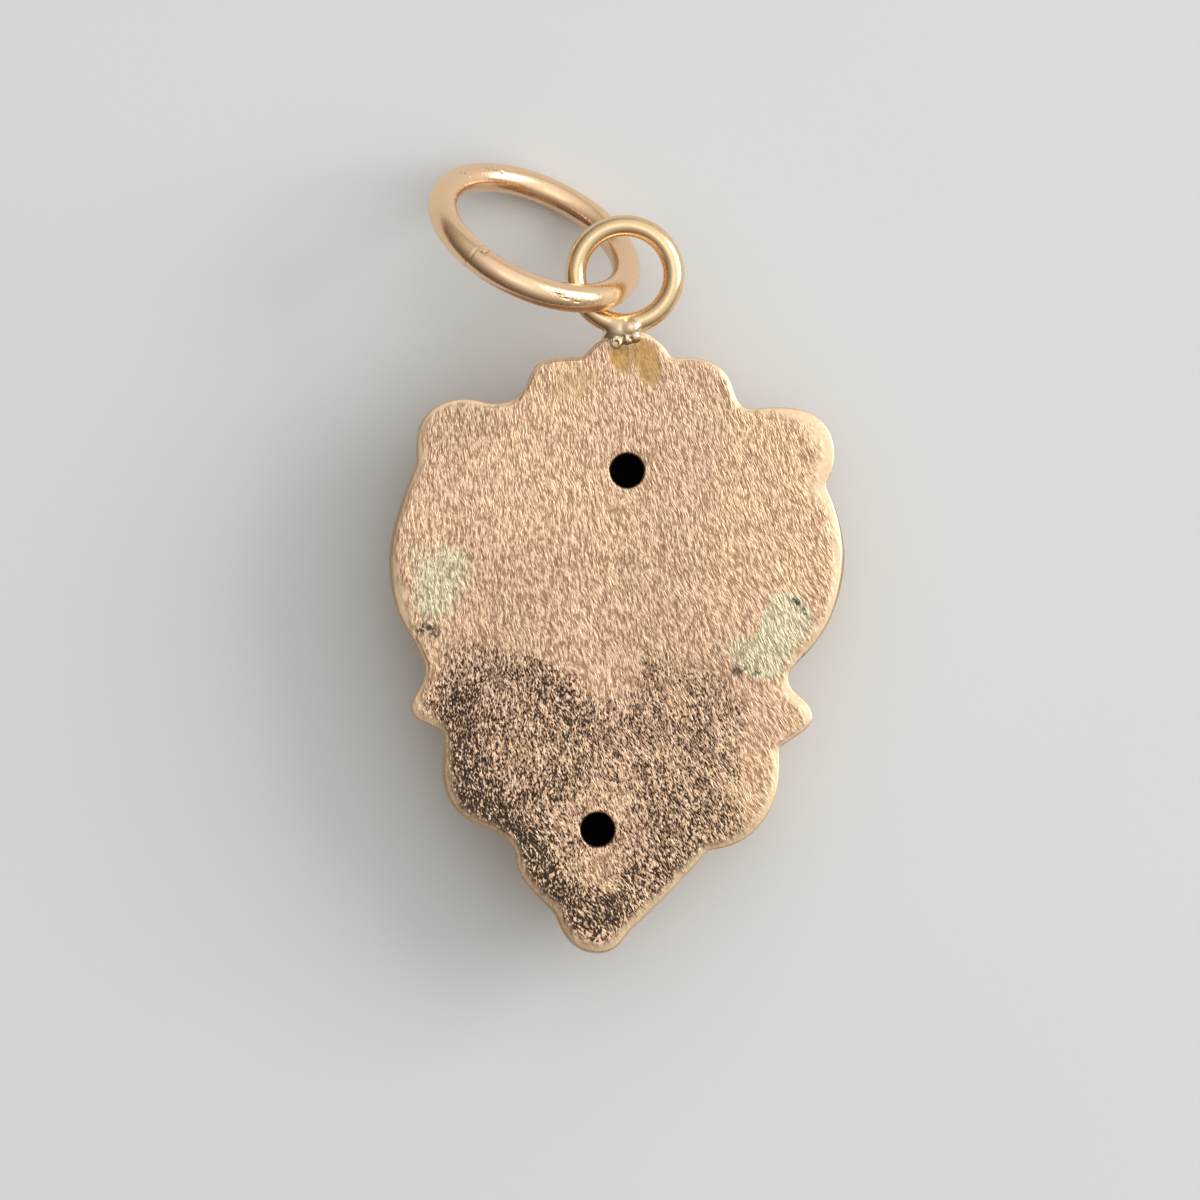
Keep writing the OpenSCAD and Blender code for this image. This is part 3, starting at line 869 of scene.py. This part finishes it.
class Shader:
    """A material whose nodes are made by short calls."""

    def __init__(self, name):
        self.material = bpy.data.materials.new(name)
        self.material.use_nodes = True
        self.tree = self.material.node_tree
        self.tree.nodes.clear()
        self.shader = self.tree.nodes.new("ShaderNodeBsdfPrincipled")
        out = self.tree.nodes.new("ShaderNodeOutputMaterial")
        self.tree.links.new(self.shader.outputs["BSDF"], out.inputs["Surface"])
        coordinates = self.tree.nodes.new("ShaderNodeTexCoord").outputs["Object"]
        # Millimetres, so that scales below read as marks to the millimetre
        self.mm = self.vector_math("SCALE", coordinates, scale=1000)

    def node(self, kind, **inputs):
        made = self.tree.nodes.new(kind)
        for key, value in inputs.items():
            self.put(made.inputs[key.replace("_", " ")], value)
        return made

    def put(self, socket, value):
        if isinstance(value, bpy.types.NodeSocket):
            self.tree.links.new(value, socket)
        else:
            socket.default_value = value

    def vector_math(self, operation, a, b=None, scale=None):
        made = self.tree.nodes.new("ShaderNodeVectorMath")
        made.operation = operation
        self.put(made.inputs[0], a)
        if b is not None:
            self.put(made.inputs[1], b)
        if scale is not None:
            self.put(made.inputs["Scale"], scale)
        return made.outputs["Vector"]

    def math(self, operation, a, b):
        made = self.tree.nodes.new("ShaderNodeMath")
        made.operation = operation
        self.put(made.inputs[0], a)
        self.put(made.inputs[1], b)
        return made.outputs["Value"]

    def times(self, a, b):
        return self.math("MULTIPLY", a, b)

    def plus(self, a, b):
        return self.math("ADD", a, b)

    def ramp(self, value, low, high, to_low=0.0, to_high=1.0):
        """From to_low to to_high as a value goes from low to high, with soft ends."""
        limits = {"From_Min": low, "From_Max": high, "To_Min": to_low, "To_Max": to_high}
        made = self.node("ShaderNodeMapRange", Value=value, **limits)
        made.interpolation_type = "SMOOTHSTEP"
        return made.outputs["Result"]

    def noise(self, vector, scale, detail=2.0, roughness=0.5):
        made = self.node("ShaderNodeTexNoise", Vector=vector, Scale=scale, Detail=detail, Roughness=roughness)
        return made.outputs["Fac"]

    def mix(self, factor, a, b):
        made = self.tree.nodes.new("ShaderNodeMix")
        made.data_type = "RGBA"
        made.clamp_factor = True
        self.put(made.inputs["Factor"], factor)
        for key, value in (("A", a), ("B", b)):
            socket = [s for s in made.inputs if s.name == key and s.type == "RGBA"][0]
            self.put(socket, value if isinstance(value, bpy.types.NodeSocket) else (*value, 1.0))
        return [s for s in made.outputs if s.type == "RGBA"][0]

    def attribute(self, name):
        made = self.tree.nodes.new("ShaderNodeAttribute")
        made.attribute_name = name
        return made.outputs["Fac"]

    def bump(self, height, strength, distance_mm):
        made = self.node("ShaderNodeBump", Height=height, Strength=strength, Distance=distance_mm * 0.001)
        return made.outputs["Normal"]

    def finish(self, color, roughness, normal, metallic=1.0):
        self.put(self.shader.inputs["Base Color"], color)
        self.put(self.shader.inputs["Roughness"], roughness)
        self.put(self.shader.inputs["Normal"], normal)
        self.shader.inputs["Metallic"].default_value = metallic
        return self.material


# Base colours, most of them as a darker and a lighter tone between which a grain or a cloud changes
# The next five pairs are the plate's: the darker tone is painted shade in the strokes' valleys, the lighter
# painted highlight on their crests
YELLOW_GOLD_SHADED_AND_LIT = (0.47, 0.29, 0.17), (1.00, 0.705, 0.455)
PINK_GOLD_SHADED_AND_LIT = (0.48, 0.28, 0.18), (1.00, 0.695, 0.49)
DULL_AND_SHADED_GOLD = (0.30, 0.19, 0.12), (0.74, 0.52, 0.36)
WARM_GOLD_SHADED_AND_LIT = (0.36, 0.20, 0.12), (0.90, 0.60, 0.42)
GREEN_GOLD_SHADED_AND_LIT = (0.45, 0.41, 0.26), (0.91, 0.82, 0.575)
RIM_GOLD = (0.90, 0.66, 0.43), (0.95, 0.73, 0.49)
SHELL_GOLD = (0.86, 0.65, 0.42), (0.88, 0.64, 0.45)
FIXED_GOLD = (0.88, 0.65, 0.385), (0.86, 0.62, 0.365)
JUMP_GOLD = (0.94, 0.67, 0.405), (0.94, 0.64, 0.415)
YELLOW_SOLDER = (0.41, 0.24, 0.065), (0.57, 0.34, 0.10)
PALE_SOLDER = (0.78, 0.62, 0.42)
PLATE_DIRT = (0.060, 0.044, 0.034)
SPECK_DIRT = (0.048, 0.060, 0.060)
RING_DIRT = (0.14, 0.085, 0.05)
RECESS_DIRT = (0.36, 0.22, 0.12)
# Near black painted shade for the shell's inner side, so that the vents look dark
HOLLOW_PAINTED_SHADE = (0.012, 0.009, 0.007)
FLOOR_TONES = (0.76, 0.775, 0.775), (0.785, 0.80, 0.80)


def stroke_coordinates(m, across, along):
    """Coordinates that run with the brush strokes, denser by a factor across and one along them."""
    xyz = m.node("ShaderNodeSeparateXYZ", Vector=m.mm).outputs
    x, y = xyz["X"], xyz["Y"]
    u = m.plus(x, m.times(y, m.plus(0.25, m.times(x, LEAN_GROWTH))))
    wander = m.noise(m.mm, 0.55, 1.0)
    u = m.times(m.plus(u, m.times(wander, 0.5)), across)
    v = m.times(y, along)
    # Turned against the noise's own rows, so that these don't line up along x
    turned_x = m.plus(m.times(u, 0.8), m.times(v, -0.6))
    turned_y = m.plus(m.times(u, 0.6), m.times(v, 0.8))
    return m.node("ShaderNodeCombineXYZ", X=turned_x, Y=turned_y, Z=0.35).outputs["Vector"]


def plate_gold():
    m = Shader("brushed_gold_plate")
    rim, tarnish = m.attribute("rim"), m.attribute("tarnish")
    green, solder = m.attribute("green"), m.attribute("solder")
    coarse = m.noise(stroke_coordinates(m, 12.5, 4.0), 1.0, 1.0, 0.5)
    fine = m.noise(stroke_coordinates(m, 24.0, 8.5), 1.0, 1.0, 0.5)
    grain = m.plus(m.times(coarse, 0.6), m.times(fine, 0.4))
    # The strokes' crests take each pair's lighter tone as painted highlight, and their valleys the darker
    # tone as painted shade
    crest = m.ramp(grain, 0.38, 0.62)
    cloud = m.noise(m.mm, 0.35, 3.0, 0.6)
    pinkness = m.ramp(cloud, 0.32, 0.68)
    high = m.mix(pinkness, YELLOW_GOLD_SHADED_AND_LIT[1], PINK_GOLD_SHADED_AND_LIT[1])
    low = m.mix(pinkness, YELLOW_GOLD_SHADED_AND_LIT[0], PINK_GOLD_SHADED_AND_LIT[0])
    base = m.mix(crest, low, high)
    # The broad darker areas: partly a duller film, partly painted shade
    base = m.mix(m.times(m.attribute("dull_and_shaded"), 0.55), base, m.mix(crest, *DULL_AND_SHADED_GOLD))
    base = m.mix(m.times(m.attribute("warm"), 0.5), base, m.mix(crest, *WARM_GOLD_SHADED_AND_LIT))
    patchy = m.ramp(m.plus(green, m.plus(grain, -0.5)), 0.0, 1.0)
    base = m.mix(m.times(patchy, 0.96), base, m.mix(crest, *GREEN_GOLD_SHADED_AND_LIT))
    speckle = m.noise(m.mm, 7.5, 2.0, 0.6)
    mottle = m.ramp(speckle, 0.35, 0.65)
    # Dirt stays between the crests, in a finer and rounder grain than the strokes
    pores = m.noise(stroke_coordinates(m, 29.0, 9.0), 1.0, 1.0, 0.5)
    depth = m.math("MINIMUM", m.times(tarnish, 0.22), 0.165)
    pit = m.math("SUBTRACT", m.plus(m.times(pores, 0.75), m.times(grain, 0.25)), depth)
    dirt = m.times(m.ramp(pit, 0.46, 0.325), m.ramp(tarnish, 0.02, 0.20))
    base = m.mix(m.times(dirt, 0.98), base, PLATE_DIRT)
    specks = m.times(m.attribute("speck"), m.ramp(speckle, 0.36, 0.54, 0.0, 0.92))
    base = m.mix(specks, base, SPECK_DIRT)
    # The solder that ran onto the plate is smooth
    base = m.mix(m.times(solder, 0.85), base, m.mix(mottle, *YELLOW_SOLDER))
    rim_clean = m.times(rim, m.math("SUBTRACT", 1.0, m.times(tarnish, 0.25)))
    base = m.mix(m.times(rim_clean, 0.90), base, m.mix(mottle, *RIM_GOLD))
    rough = m.plus(m.ramp(cloud, 0.3, 0.7, 0.34, 0.44), m.times(dirt, 0.25))
    rough = m.plus(rough, m.plus(m.times(rim, -0.03), m.times(solder, -0.06)))
    even = m.math("MAXIMUM", m.times(rim, 0.96), m.times(solder, 0.80))
    height = m.plus(m.times(grain, m.math("SUBTRACT", 1.0, even)), m.times(speckle, 0.08))
    return m.finish(base, rough, m.bump(height, 1.0, 0.05))


def ring_gold(name, tones, soldered=False, worn=False):
    """Polished gold, with pale solder or dirty nicks where the mesh's attributes say so."""
    m = Shader(name)
    cloud = m.noise(m.mm, 0.6, 3.0, 0.6)
    base = m.mix(m.ramp(cloud, 0.35, 0.65), *tones)
    fine = m.noise(m.mm, 9.0, 3.0, 0.65)
    scratch = m.noise(m.vector_math("MULTIPLY", m.mm, (14.0, 3.0, 5.0)), 1.0, 2.0, 0.6)
    rough = m.plus(m.ramp(fine, 0.3, 0.7, 0.15, 0.24), m.ramp(scratch, 0.52, 0.66, 0.0, 0.08))
    if soldered:
        solder = m.attribute("solder")
        base = m.mix(m.times(solder, 0.7), base, PALE_SOLDER)
        rough = m.plus(rough, m.times(solder, -0.05))
    height = m.plus(m.times(fine, 0.5), m.times(scratch, 0.5))
    if worn:
        scrape = m.noise(m.vector_math("MULTIPLY", m.mm, (20.0, 11.0, 14.0)), 1.0, 2.0, 0.6)
        scuffed = m.times(m.attribute("scuff"), m.ramp(scrape, 0.50, 0.60))
        wear = m.math("MAXIMUM", m.attribute("wear"), scuffed)
        base = m.mix(m.times(wear, 0.80), base, RING_DIRT)
        rough = m.plus(rough, m.times(wear, 0.25))
        height = m.plus(height, m.times(wear, -2.5))
    return m.finish(base, rough, m.bump(height, 1.0, 0.004))


def shell_gold():
    m = Shader("brushed_gold_shell")
    cloud = m.noise(m.mm, 0.5, 3.0, 0.6)
    base = m.mix(m.ramp(cloud, 0.35, 0.65), *SHELL_GOLD)
    fine = m.noise(m.mm, 7.0, 3.0, 0.6)
    recess = m.attribute("recess")
    base = m.mix(m.times(recess, 0.55), base, RECESS_DIRT)
    rough = m.plus(m.ramp(fine, 0.3, 0.7, 0.22, 0.32), m.times(recess, 0.12))
    # The shell's inner side is painted near black as painted shade
    inside = m.attribute("inside")
    base = m.mix(inside, base, HOLLOW_PAINTED_SHADE)
    rough = m.plus(rough, m.times(inside, 0.5))
    return m.finish(base, rough, m.bump(fine, 1.0, 0.006))


def floor_material():
    m = Shader("floor")
    color = m.mix(m.noise(m.mm, 0.05, 2.0), *FLOOR_TONES)
    return m.finish(color, 0.7, m.bump(m.noise(m.mm, 2.0, 2.0), 0.2, 0.02), metallic=0.0)


# Pieces

shell = front_shell()
plate = back_plate()
fixed = fixed_ring()
jump = jump_ring()
for piece in (shell, plate, fixed):
    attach(piece, "root")
    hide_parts("lion_head")
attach(jump, "root")
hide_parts("jump_ring")
plate.data.materials.append(plate_gold())
shell.data.materials.append(shell_gold())
fixed.data.materials.append(ring_gold("fixed_ring_gold", FIXED_GOLD, soldered=True))
jump.data.materials.append(ring_gold("polished_gold_wire", JUMP_GOLD, worn=True))

# Floor, lights and camera, in metres

bpy.ops.mesh.primitive_plane_add(size=3.0)
floor = bpy.context.object
floor.name = "floor"
floor.data.materials.append(floor_material())


def area_light(name, place, size, power, color):
    """A flat light that shines on the origin."""
    data = bpy.data.lights.new(name, "AREA")
    data.shape = "RECTANGLE"
    data.size, data.size_y = size
    data.energy = power
    data.color = color
    lamp = bpy.data.objects.new(name, data)
    bpy.context.scene.collection.objects.link(lamp)
    lamp.location = place
    lamp.rotation_euler = (-Vector(place)).to_track_quat("-Z", "Y").to_euler()


area_light("key", place=(0.29, 0.10, 0.16), size=(0.24, 0.22), power=0.56, color=(1.0, 0.985, 0.97))
area_light("top", place=(0.02, 0.06, 0.40), size=(0.20, 0.20), power=0.05, color=(1.0, 1.0, 1.0))

# The room's bright side, and its tones by how near a direction is to that: 0 is 120 degrees away from it
# and 1 is right there. It is above, on the right and beyond the rings, and the left is dim and warm.
BRIGHT_SIDE = (0.40, 0.36, 0.84)
ROOM_TONES = (
    (0.03, (0.10, 0.07, 0.05)), (0.333, (0.20, 0.16, 0.13)), (0.567, (0.38, 0.35, 0.32)),
    (0.747, (0.66, 0.64, 0.62)), (0.897, (0.98, 0.98, 0.97)), (0.99, (1.06, 1.06, 1.05)),
)
world = bpy.data.worlds.new("studio")
bpy.context.scene.world = world
world.use_nodes = True
tree = world.node_tree
tree.nodes.clear()
direction = tree.nodes.new("ShaderNodeTexCoord")
toward = tree.nodes.new("ShaderNodeVectorMath")
toward.operation = "DOT_PRODUCT"
toward.inputs[1].default_value = BRIGHT_SIDE
nearness = tree.nodes.new("ShaderNodeMath")
nearness.operation = "MULTIPLY_ADD"
nearness.inputs[1].default_value = 0.6667
nearness.inputs[2].default_value = 0.3333
ramp = tree.nodes.new("ShaderNodeValToRGB")
sky = tree.nodes.new("ShaderNodeBackground")
sky.inputs["Strength"].default_value = 1.0
sky_out = tree.nodes.new("ShaderNodeOutputWorld")
tree.links.new(direction.outputs["Generated"], toward.inputs[0])
tree.links.new(toward.outputs["Value"], nearness.inputs[0])
tree.links.new(nearness.outputs["Value"], ramp.inputs["Fac"])
tree.links.new(ramp.outputs["Color"], sky.inputs["Color"])
tree.links.new(sky.outputs["Background"], sky_out.inputs["Surface"])
stops = ramp.color_ramp.elements
for stop, (position, tone) in zip(stops, (ROOM_TONES[0], ROOM_TONES[-1])):
    stop.position = position
    stop.color = (*tone, 1)
for position, tone in ROOM_TONES[1:-1]:
    stops.new(position).color = (*tone, 1)

# The camera looks straight down, as in the photograph, through a long lens
FRAME_WIDTH = 0.042
FRAME_MIDDLE = (-0.000531, -0.001402)
FRAME_TURN = 2.3
LENS = 800.0
SENSOR = 36.0
camera_data = bpy.data.cameras.new("camera")
camera_data.lens = LENS
camera_data.sensor_width = SENSOR
camera_data.clip_start = 0.01
camera_data.clip_end = 10.0
camera = bpy.data.objects.new("camera", camera_data)
bpy.context.scene.collection.objects.link(camera)
distance = FRAME_WIDTH * LENS / SENSOR
camera.location = (*FRAME_MIDDLE, (RELIEF_H + PLATE_T) * 0.001 + distance)
camera.rotation_euler = (0, 0, math.radians(FRAME_TURN))
bpy.context.scene.camera = camera
bpy.context.scene.view_settings.view_transform = "Standard"
